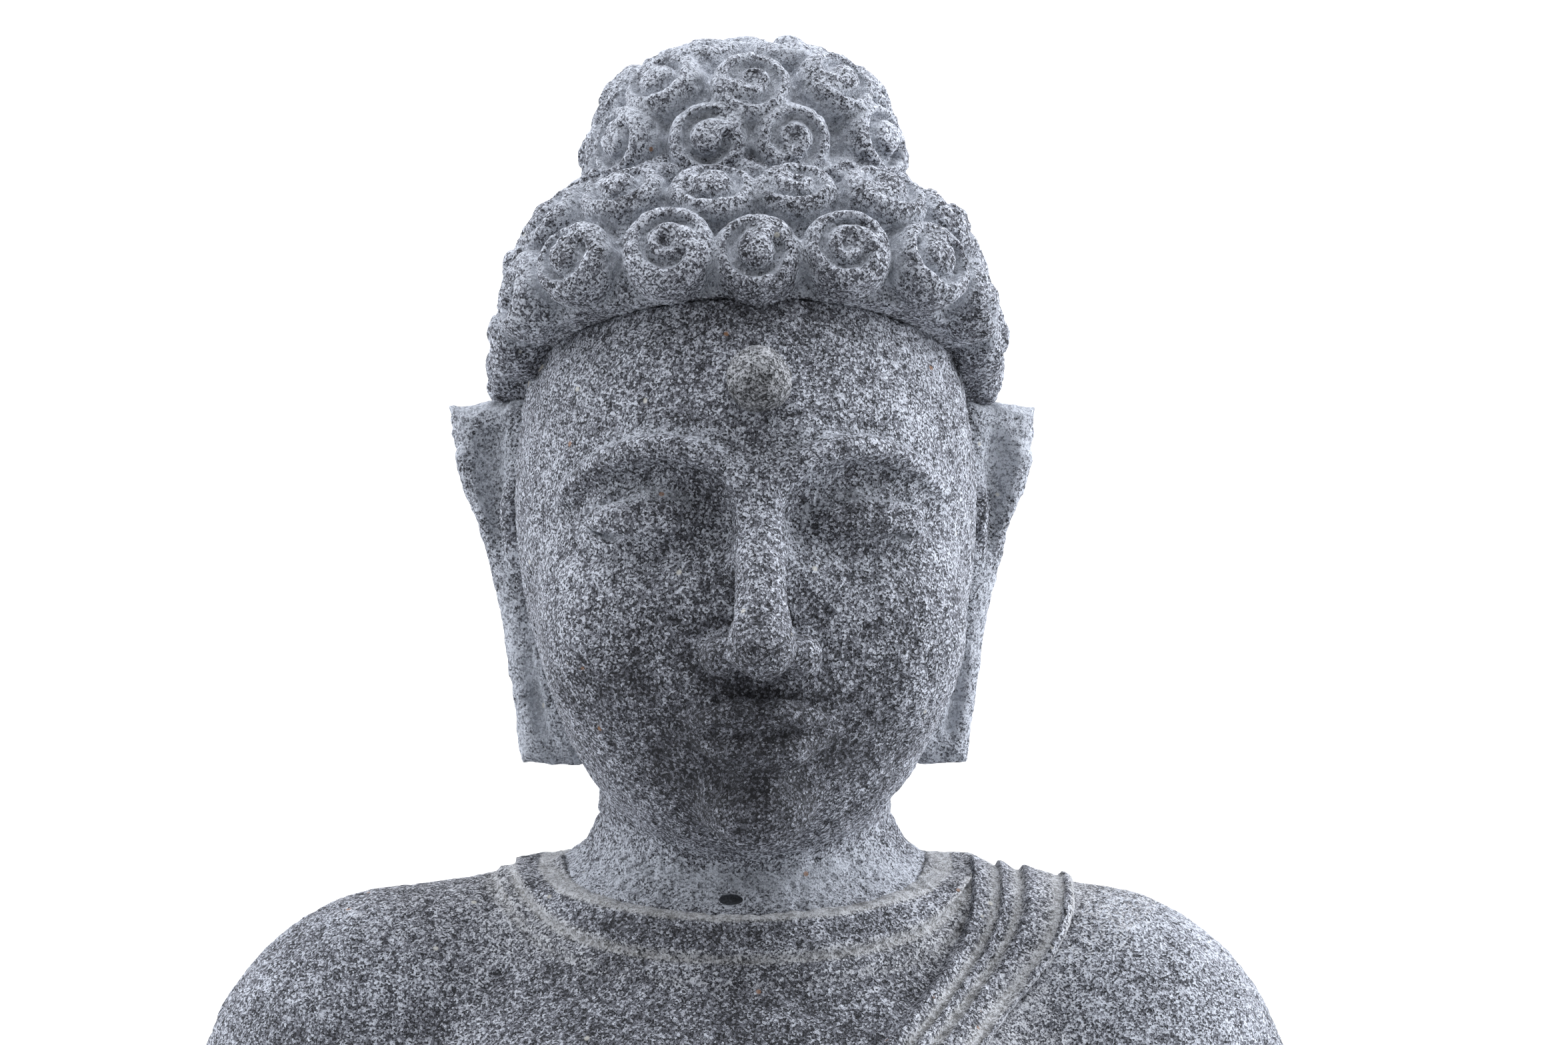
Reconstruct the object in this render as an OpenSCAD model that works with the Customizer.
// Seated Buddha in volcanic stone, cast in sections and pinned together.
// Millimetres. The figure faces -Y, its own left side is +X, and +Z is up.
// The origin is the middle of the footprint, on the floor.

/* [Base] */
// Width of the base slab
base_w = 470; // [460:5:500]
// Depth of the base slab
base_d = 320; // [316:4:340]
// Height of the base slab, without the pads
base_h = 38; // [30:1:50]
// Corner radius of the base slab in plan
base_r = 70; // [50:5:90]
// Radius of each rubber pad
pad_r = 18; // [12:1:22]
// How far the pads stand out under the slab
pad_out = 2; // [1:0.5:4]

/* [Lower body] */
// Half of the distance between the knee centres
knee_x = 176; // [166:2:180]
// Radius of the thighs at the hip
thigh_r = 41; // [36:1:42]
// Radius of the knees
knee_r = 37; // [32:1:38]
// Height of the block of crossed legs above its mortar bed
legs_h = 86; // [82:1:90]

/* [Upper body] */
// Half width of the robed chest
chest_w = 104; // [96:1:108]
// Half width at the waist
waist_w = 86; // [78:1:90]
// Height of the shoulder tops above the waist joint
chest_h = 258; // [254:1:262]
// Radius of the shoulder balls
shoulder_r = 36; // [32:1:38]
// Thickness of the rolled robe band round the neck
collar_t = 13; // [10:0.5:15]
// Number of pleats in the shoulder sash
pleats = 4; // [3:1:5]
// Distance from pleat to pleat
pleat_pitch = 8.5; // [7:0.5:9]

/* [Head] */
// Half width of the face
face_w = 56; // [52:1:58]
// Half width of the hair
hair_w = 64; // [60:1:66]
// Diameter of a snail-shell curl
curl_d = 19; // [16:0.5:21]
// Radius of the topknot at its foot
knot_r = 40; // [36:1:42]
// Height of the topknot above the hair
knot_h = 36; // [30:1:40]
// Height of an ear
ear_h = 92; // [84:1:96]
// Radius of the forehead bead
urna_r = 7.5; // [6:0.5:8]

/* [Joints] */
// Radius of the neck and waist dowels
dowel_r = 8; // [6:0.5:10]
// Radius of the small pins
pin_r = 4; // [3:0.5:5]
// Radius of the thin pins in the ears
ear_pin_r = 2.5; // [2:0.5:3]
// Resin gap round every dowel and pin
resin_gap = 0.5; // [0.2:0.1:1]
// Thickness of a mortar bed
bed_t = 2; // [1:0.5:3]

/* [Hidden] */

stone = "slategray";
dark_stone = "dimgray";
mortar = "darkkhaki";
steel = "silver";
rubber = "black";

pad_t = pad_out + 2;
pad_x = base_w / 2 - 50;
pad_y = base_d / 2 - 50;
base_top = pad_out + base_h;
legs_z = base_top + bed_t;
waist_z = legs_z + legs_h;
torso_z = waist_z + bed_t;
shoulder_z = torso_z + chest_h;
neck_z = shoulder_z - 26;
head_z = neck_z + bed_t;
chin_z = head_z + 32;
brow_z = chin_z + 91;
eye_z = brow_z - 11;
nose_z = chin_z + 45;
mouth_z = nose_z - 15;
hair_top = chin_z + 166;
face_y = -70;

// The hair sits on a flat cut over the ears and on a step behind them.
hair_tilt = 17;
hair_y = -69;
hair_z = chin_z + 134;
nape_y = 22;
nape_z = chin_z + 48;

// The hands start at the wrists, this far from the middle.
wrist_x = 50;

// Squareness of the trunk in plan, from 1 for round.
robe_p = 0.86;

sides = 40;

// ---------- Curves and lofts ----------

// Cubic through four neighbouring values.
function cubic(a, b, c, d, u) =
    b + u * (c - a) / 2
    + u * u * (a - 2.5 * b + 2 * c - d / 2)
    + u * u * u * (-a / 2 + 1.5 * b - 1.5 * c + d / 2);

// Column k of a station list at place s, counted in stations.
function station(rows, s, k) =
    let (n = len(rows) - 1, i = min(floor(s), n - 1), u = s - i)
    cubic(rows[max(i - 1, 0)][k], rows[i][k], rows[i + 1][k], rows[min(i + 2, n)][k], u);

// Point at place s on a line of points.
function point_on(line, s) = [for (k = [0:2]) station(line, s, k)];

// Signed power, which squares a circle off a little.
function bulge(v, p) = sign(v) * pow(abs(v), p);

// One level ring from its height, half width, front and back.
function ring(z, w, front, back, p, n = sides) =
    [for (i = [0:n - 1])
        let (a = 360 * i / n, c = bulge(cos(a), p), s = bulge(sin(a), p))
        [w * c, (front + back) / 2 + (back - front) / 2 * s, z]];

// Closed solid through rings that all have the same number of points.
module skin(rings) {
    n = len(rings[0]);
    m = len(rings);
    low = [for (k = [0:2]) mean(rings[0], k)];
    high = [for (k = [0:2]) mean(rings[m - 1], k)];
    points = concat([for (r = rings) for (p = r) p], [low, high]);
    walls = [for (j = [0:m - 2]) for (i = [0:n - 1])
        let (a = j * n + i, b = j * n + (i + 1) % n)
        each [[a, a + n, b], [b, a + n, b + n]]];
    floor_fan = [for (i = [0:n - 1]) [m * n, i, (i + 1) % n]];
    roof_fan = [for (i = [0:n - 1])
        [m * n + 1, (m - 1) * n + (i + 1) % n, (m - 1) * n + i]];
    polyhedron(points, concat(walls, floor_fan, roof_fan));
}
function mean(r, k) = sum([for (p = r) p[k]]) / len(r);
function sum(v, i = 0) = i < len(v) ? v[i] + sum(v, i + 1) : 0;

// Loft through stations of [height, half width, front, back].
module loft(rows, steps, p) {
    s_end = len(rows) - 1;
    skin([for (j = [0:steps]) let (s = s_end * j / steps)
        ring(station(rows, s, 0), station(rows, s, 1), station(rows, s, 2),
            station(rows, s, 3), p)]);
}

// Solid limb between two balls.
module limb(a, ra, b, rb, n = 24) {
    hull() {
        translate(a) sphere(ra, $fn = n);
        translate(b) sphere(rb, $fn = n);
    }
}

// Turns a union of smooth shapes into one closed skin.
module one_skin() {
    resize([0, 0, 0]) children();
}

// ---------- Whole shapes, before the joints are cut ----------

// Robed trunk from the waist to the neck: [height, half width, front, back].
torso_rows = [
    [torso_z, waist_w + 2, -62, 62],
    [torso_z + 42, waist_w - 2, -60, 58],
    [torso_z + 95, waist_w + 4, -63, 59],
    [torso_z + 145, chest_w - 6, -68, 62],
    [torso_z + 185, chest_w, -69, 64],
    [torso_z + 215, chest_w, -61, 63],
    [torso_z + 238, chest_w - 2, -48, 58],
    [torso_z + 250, chest_w - 14, -38, 52],
    [shoulder_z, chest_w - 44, -30, 46]];

// Skull and face: [height, half width, front, back].
head_rows = [
    [chin_z, face_w - 42, -54, -22],
    [chin_z + 4, face_w - 30, -62, 8],
    [chin_z + 14, face_w - 17, -67, 34],
    [chin_z + 32, face_w - 8, -70, 52],
    [chin_z + 52, face_w - 3, -71, 62],
    [chin_z + 76, face_w, -70, 68],
    [chin_z + 100, face_w, -69, 71],
    [chin_z + 122, face_w - 1, -66, 70],
    [chin_z + 142, face_w - 6, -58, 64],
    [chin_z + 156, face_w - 20, -42, 50],
    [chin_z + 162, face_w - 40, -22, 26]];

module torso_form() {
    loft(torso_rows, 26, robe_p);
    translate([0, 2, shoulder_z - 3]) rotate([20, 0, 0]) scale([1, 0.94, 1])
        rotate_extrude($fn = 40) translate([53, 0]) circle(d = collar_t, $fn = 13);
}

module head_form() {
    loft(head_rows, 30, 0.94);
    translate([0, 4, head_z]) cylinder(h = 62, r1 = 42, r2 = 36, $fn = 40);
}

// The space that the hair may fill, above its cut and behind the ears.
module above_hair_cut(lift = 0) {
    translate([0, hair_y, hair_z]) rotate([-hair_tilt, 0, 0])
        translate([-100, -40, lift]) cube([200, 300, 200]);
    translate([-100, nape_y + lift, nape_z + lift]) cube([200, 100, 100]);
}

module arm_form(side) {
    shoulder = [side * chest_w, 4, shoulder_z - 44];
    elbow = [side * (chest_w + 46), 14, torso_z + 72];
    wrist = [side * 52, -98, waist_z + 27];
    limb(shoulder, shoulder_r, elbow, 31);
    limb(elbow, 31, wrist, 20);
}

module hands_form() {
    palm_z = waist_z + 12;
    for (side = [-1, 1]) {
        limb([side * 46, -98, palm_z + 8], 15, [side * 12, -98, palm_z + 2], 13, 20);
        limb([side * 20, -112, palm_z + 12], 7, [0, -114, palm_z + 22], 6, 16);
    }
    limb([-26, -88, palm_z], 13, [26, -88, palm_z], 13, 20);
}

// The slab of space between the wrists, above the lap.
module between_wrists() {
    translate([-wrist_x, -200, waist_z]) cube([2 * wrist_x, 200, 100]);
}

module legs_form() {
    hip_z = legs_z + 44;
    intersection() {
        union() {
            for (side = [-1, 1]) {
                limb([side * 62, 34, hip_z], thigh_r + 8, [side * knee_x, -34, legs_z + 33], knee_r);
                limb([side * knee_x, -48, legs_z + 31], knee_r, [side * -36, -104, legs_z + 36], 31);
            }
            translate([0, 0, legs_z]) linear_extrude(legs_h)
                scale([1, 0.72]) circle(r = waist_w + 22, $fn = 48);
            translate([0, -66, legs_z + 34]) scale([110, 66, 66]) sphere(r = 1, $fn = 32);
            translate([0, -30, legs_z + 18]) scale([165, 76, 56]) sphere(r = 1, $fn = 32);
        }
        translate([-250, -150, legs_z]) cube([500, 300, legs_h]);
    }
}

// ---------- Pins, and the holes that take them ----------

module rod(at, turn, length, r) {
    translate(at) rotate(turn) cylinder(h = length, r = r, center = true, $fn = 48);
}

module base_rods(r, extra = 0) {
    for (side = [-1, 1])
        rod([side * 90, 20, legs_z], [0, 0, 0], 50 + 2 * extra, r);
}

module waist_rods(r, extra = 0) {
    for (side = [-1, 1])
        rod([side * 36, 8, torso_z], [0, 0, 0], 110 + 2 * extra, r);
}

module neck_rod(r, extra = 0) {
    rod([0, 8, head_z], [0, 0, 0], 100 + 2 * extra, r);
}

module hair_rod(r, extra = 0) {
    rod([0, 8, hair_z - (8 - hair_y) * tan(hair_tilt)], [-hair_tilt, 0, 0], 44 + 2 * extra, r);
}

module knot_rod(r, extra = 0) {
    rod([0, 8, knot_z], [0, 0, 0], 34 + 2 * extra, r);
}

module arm_rods(r, side, extra = 0) {
    for (y = [-12, 20])
        rod([side * chest_w, y, shoulder_z - 52], [0, 90, 0], 44 + 2 * extra, r);
}

module hand_rods(r, extra = 0) {
    for (side = [-1, 1])
        rod([side * 30, -88, waist_z + 2], [0, 0, 0], 22 + 2 * extra, r);
}

module ear_rods(r, side, extra = 0) {
    for (z = [chin_z + 60, chin_z + 88])
        rod([side * face_w, 9, z], [0, 90, 0], 12 + 2 * extra, r);
}

knot_z = hair_top - 12;

// ---------- Sub-parts ----------

module pad_spots() {
    for (x = [-pad_x, pad_x], y = [-pad_y, pad_y]) translate([x, y, 0]) children();
}

module rubber_pads() {
    color(rubber) pad_spots() cylinder(h = pad_t, r = pad_r, $fn = 48);
}

module slab_plan(inset) {
    x = base_w / 2 - base_r;
    y = base_d / 2 - base_r;
    r = base_r - inset;
    square([2 * x, 2 * (y + r)], center = true);
    square([2 * (x + r), 2 * y], center = true);
    for (i = [-1, 1], j = [-1, 1]) translate([i * x, j * y]) circle(r = r, $fn = 96);
}

module base_slab() {
    step = 4;
    color(stone) difference() {
        union() {
            translate([0, 0, pad_out]) linear_extrude(base_h * 0.36) slab_plan(0);
            translate([0, 0, pad_out]) linear_extrude(base_h * 0.7) slab_plan(step);
            translate([0, 0, pad_out]) linear_extrude(base_h) slab_plan(2 * step);
        }
        pad_spots() cylinder(h = pad_t, r = pad_r, $fn = 48);
        base_rods(pin_r + 2 + resin_gap, 1);
    }
}

module base_bed() {
    color(mortar) difference() {
        translate([0, 0, base_top]) linear_extrude(bed_t)
            scale([1, 0.7]) circle(r = waist_w + 12, $fn = 96);
        base_rods(pin_r + 2 + resin_gap, 1);
    }
}

module base_dowels() {
    color(steel) base_rods(pin_r + 2);
}

module crossed_legs() {
    color(stone) difference() {
        one_skin() legs_form();
        base_rods(pin_r + 2 + resin_gap, 1);
        waist_rods(dowel_r + resin_gap, 1);
        hand_rods(pin_r + resin_gap, 1);
    }
}

module waist_bed() {
    color(mortar) difference() {
        translate([0, 0, waist_z]) linear_extrude(bed_t)
            scale([1, 0.7]) circle(r = waist_w - 6, $fn = 96);
        waist_rods(dowel_r + resin_gap, 1);
    }
}

module waist_dowels() {
    color(steel) waist_rods(dowel_r);
}

module torso() {
    color(stone) difference() {
        one_skin() difference() {
            torso_form();
            translate([0, 4, neck_z]) cylinder(h = 60, r = 44, $fn = 40);
        }
        waist_rods(dowel_r + resin_gap, 1);
        neck_rod(dowel_r + resin_gap, 1);
        for (side = [-1, 1]) arm_rods(pin_r + resin_gap, side, 1);
    }
}

// Point on the robe at loft place s and distance x from the middle.
function on_robe(s, x, back) =
    let (w = station(torso_rows, s, 1), f = station(torso_rows, s, 2),
        b = station(torso_rows, s, 3), rise = sqrt(1 - pow(abs(x / w), 2 / robe_p)))
    [x, (f + b) / 2 + back * (b - f) / 2 * pow(rise, robe_p), station(torso_rows, s, 0)];

// How far the sash lies to the left at loft place s: it slants up to the shoulder.
function sash_x(s) = 16 + 54
    * pow(max(0, (station(torso_rows, s, 0) - torso_z - 40) / (chest_h - 40)), 1.9);

// Middle line of the sash, up the front, over the left shoulder and down the back.
sash_line = concat(
    [for (s = [1.9:0.75:6.4]) on_robe(s, sash_x(s), -1)],
    [for (s = [7, 7.45]) on_robe(s, sash_x(s), -1)],
    [for (s = [7.45, 7]) on_robe(s, sash_x(s), 1)],
    [for (s = [6.4:-0.8:2]) on_robe(s, sash_x(s), 1)]);

// Pleated band: ridges side by side on top, flat underneath.
module pleated_band() {
    last = len(sash_line) - 1;
    steps = 30;
    across = [for (i = [0:6 * pleats]) [(i / 6 - pleats / 2) * pleat_pitch,
        2 + 3.4 * pow(abs(sin(30 * i)), 0.7)]];
    half = pleats * pleat_pitch / 2;
    section = concat(across, [[half, -7], [-half, -7]]);
    skin([for (j = [0:steps]) let (s = last * j / steps,
        run = point_on(sash_line, min(s + 0.1, last)) - point_on(sash_line, max(s - 0.1, 0)),
        turn = atan2(run[2], run[1]))
        [for (q = section) point_on(sash_line, s)
            + [q[0], -q[1] * sin(turn), q[1] * cos(turn) - 0.12 * q[0] * abs(cos(turn))]]]);
}

module shoulder_sash() {
    color(stone) one_skin() difference() {
        pleated_band();
        torso_form();
        arm_form(1);
    }
}

module arm(side) {
    color(stone) difference() {
        one_skin() difference() {
            arm_form(side);
            torso_form();
            between_wrists();
        }
        arm_rods(pin_r + resin_gap, side, 1);
    }
}

module left_arm() {
    arm(1);
}

module right_arm() {
    arm(-1);
}

module arm_pins() {
    color(steel) for (side = [-1, 1]) arm_rods(pin_r, side);
}

module folded_hands() {
    color(stone) difference() {
        one_skin() intersection() {
            hands_form();
            between_wrists();
        }
        hand_rods(pin_r + resin_gap, 1);
    }
}

module hand_pins() {
    color(steel) hand_rods(pin_r);
}

module neck_bed() {
    color(mortar) difference() {
        translate([0, 4, neck_z]) cylinder(h = bed_t, r = 36, $fn = 64);
        neck_rod(dowel_r + resin_gap, 1);
    }
}

module neck_dowel() {
    color(steel) neck_rod(dowel_r);
}

// Closed lids, long nose and a calm mouth on standard thirds of the face.
module face_forms() {
    for (side = [-1, 1]) {
        translate([side * 25, face_y + 8, eye_z]) scale([15, 9, 7])
            sphere(r = 1, $fn = 24);
        limb([side * 7, face_y + 2, brow_z + 2], 4, [side * 26, face_y + 5, brow_z + 6], 4, 12);
        limb([side * 26, face_y + 5, brow_z + 6], 4, [side * 45, face_y + 22, brow_z - 2], 3, 12);
        translate([side * 8, face_y - 2, nose_z + 3]) sphere(r = 6, $fn = 16);
    }
    limb([0, face_y + 2, brow_z - 2], 6, [0, face_y - 9, nose_z + 5], 8, 16);
    translate([0, face_y + 2, mouth_z + 4]) scale([19, 6, 4]) sphere(r = 1, $fn = 24);
    translate([0, face_y + 3, mouth_z - 4]) scale([15, 6, 5]) sphere(r = 1, $fn = 24);
    translate([0, face_y + 8, chin_z + 12]) scale([17, 9, 11]) sphere(r = 1, $fn = 24);
}

module head() {
    color(stone) difference() {
        one_skin() difference() {
            union() {
                head_form();
                face_forms();
            }
            above_hair_cut();
        }
        neck_rod(dowel_r + resin_gap, 1);
        hair_rod(pin_r + resin_gap, 1);
        for (side = [-1, 1]) ear_rods(ear_pin_r + resin_gap, side, 1);
        urna_ball(urna_r);
    }
}

module urna_ball(r) {
    translate([0, face_y + 2, brow_z + 21]) rotate([90, 0, 0]) cylinder(h = 9, r = r, center = true, $fn = 48);
}

module urna_bead() {
    color(dark_stone) intersection() {
        urna_ball(urna_r);
        translate([0, face_y + 10, brow_z + 21]) sphere(r = 14, $fn = 48);
    }
}

// Long ear that stands off the head, wide at the top and narrow at the lobe.
module ear_form(side) {
    top = chin_z + 17 + ear_h;
    foot = chin_z + 17;
    difference() {
        mirror([side < 0 ? 1 : 0, 0, 0]) translate([0, 14, 0]) rotate([90, 0, 0])
            linear_extrude(14) offset(r = 4, $fn = 24) offset(delta = -4) polygon([
                [face_w - 6, top - 3], [face_w + 8, top], [face_w + 19, top - 5],
                [face_w + 19, top - 22], [face_w + 10, foot + 34], [face_w + 6, foot],
                [face_w - 10, foot], [face_w - 9, foot + 36], [face_w - 8, top - 30]]);
        limb([side * (face_w + 7), 0, top - 16], 6, [side * (face_w + 3), 0, foot + 42], 4, 16);
    }
}

module ear(side) {
    color(stone) difference() {
        one_skin() difference() {
            ear_form(side);
            head_form();
            hair_form();
        }
        ear_rods(ear_pin_r + resin_gap, side, 1);
    }
}

module left_ear() {
    ear(1);
}

module right_ear() {
    ear(-1);
}

module ear_pins() {
    color(steel) for (side = [-1, 1]) ear_rods(ear_pin_r, side);
}

// Point on the hair dome from the angle down from its top and the way round.
hair_mid = [0, 4, chin_z + 100];
hair_axes = [hair_w, hair_w + 10, hair_top - chin_z - 100];
function on_hair(down, way) = hair_mid + [hair_axes[0] * sin(down) * cos(way),
    hair_axes[1] * sin(down) * sin(way), hair_axes[2] * cos(down)];

module hair_form() {
    intersection() {
        translate(hair_mid) scale(hair_axes) sphere(r = 1, $fn = 36);
        above_hair_cut(bed_t);
    }
}

module curl(r) {
    sphere(r = r, $fn = 8);
}

// Rows of curls from under the topknot down to the hairline and the nape.
module hair_curls() {
    rows = 8;
    for (i = [3:rows]) {
        down = 16 * i + 3;
        count = round(2 * PI * hair_w * sin(down) / curl_d);
        for (j = [0:count - 1]) {
            way = 360 * (j + (i % 2) / 2) / count;
            at = on_hair(down, way);
            // A curl is made only where it is clear of the cut.
            over = (at[2] - hair_z) * cos(hair_tilt) + (at[1] - hair_y) * sin(hair_tilt);
            behind = min(at[1] - nape_y, at[2] - nape_z);
            if (max(over, behind) > curl_d * 0.5) translate(at) rotate(way) curl(curl_d * 0.46);
        }
    }
}

module hair_cap() {
    color(stone) difference() {
        one_skin() difference() {
            union() {
                hair_form();
                hair_curls();
            }
            translate([-60, -60, knot_z]) cube([120, 140, 60]);
        }
        hair_rod(pin_r + resin_gap, 1);
        knot_rod(pin_r + resin_gap, 1);
    }
}

module hair_bed() {
    color(mortar) difference() {
        one_skin() intersection() {
            translate(hair_mid) scale(0.9 * hair_axes) sphere(r = 1, $fn = 36);
            difference() {
                above_hair_cut(0);
                above_hair_cut(bed_t);
            }
        }
        hair_rod(pin_r + resin_gap, 1);
    }
}

module hair_pin() {
    color(steel) hair_rod(pin_r);
}

module knot_form() {
    translate([0, 8, knot_z]) difference() {
        scale([1, 1, (knot_h + 12) / knot_r]) sphere(r = knot_r, $fn = 28);
        translate([-60, -60, -90]) cube([120, 120, 90]);
    }
}

module topknot() {
    rows = 4;
    color(stone) difference() {
        one_skin() intersection() {
            union() {
                knot_form();
                for (i = [0:rows]) {
                    down = 20 * i;
                    count = max(1, round(2 * PI * knot_r * sin(down) / curl_d));
                    for (j = [0:count - 1]) {
                        way = 360 * (j + (i % 2) / 2) / count;
                        translate([knot_r * sin(down) * cos(way), 8 + knot_r * sin(down) * sin(way),
                            knot_z + (knot_h + 8) * cos(down)]) curl(curl_d * 0.46);
                    }
                }
            }
            translate([-60, -60, knot_z]) cube([120, 140, 70]);
        }
        knot_rod(pin_r + resin_gap, 1);
    }
}

module topknot_pin() {
    color(steel) knot_rod(pin_r);
}

rubber_pads();
base_slab();
base_bed();
base_dowels();
crossed_legs();
waist_bed();
waist_dowels();
torso();
shoulder_sash();
left_arm();
right_arm();
arm_pins();
folded_hands();
hand_pins();
neck_bed();
neck_dowel();
head();
left_ear();
right_ear();
ear_pins();
hair_cap();
hair_bed();
hair_pin();
topknot();
topknot_pin();
urna_bead();
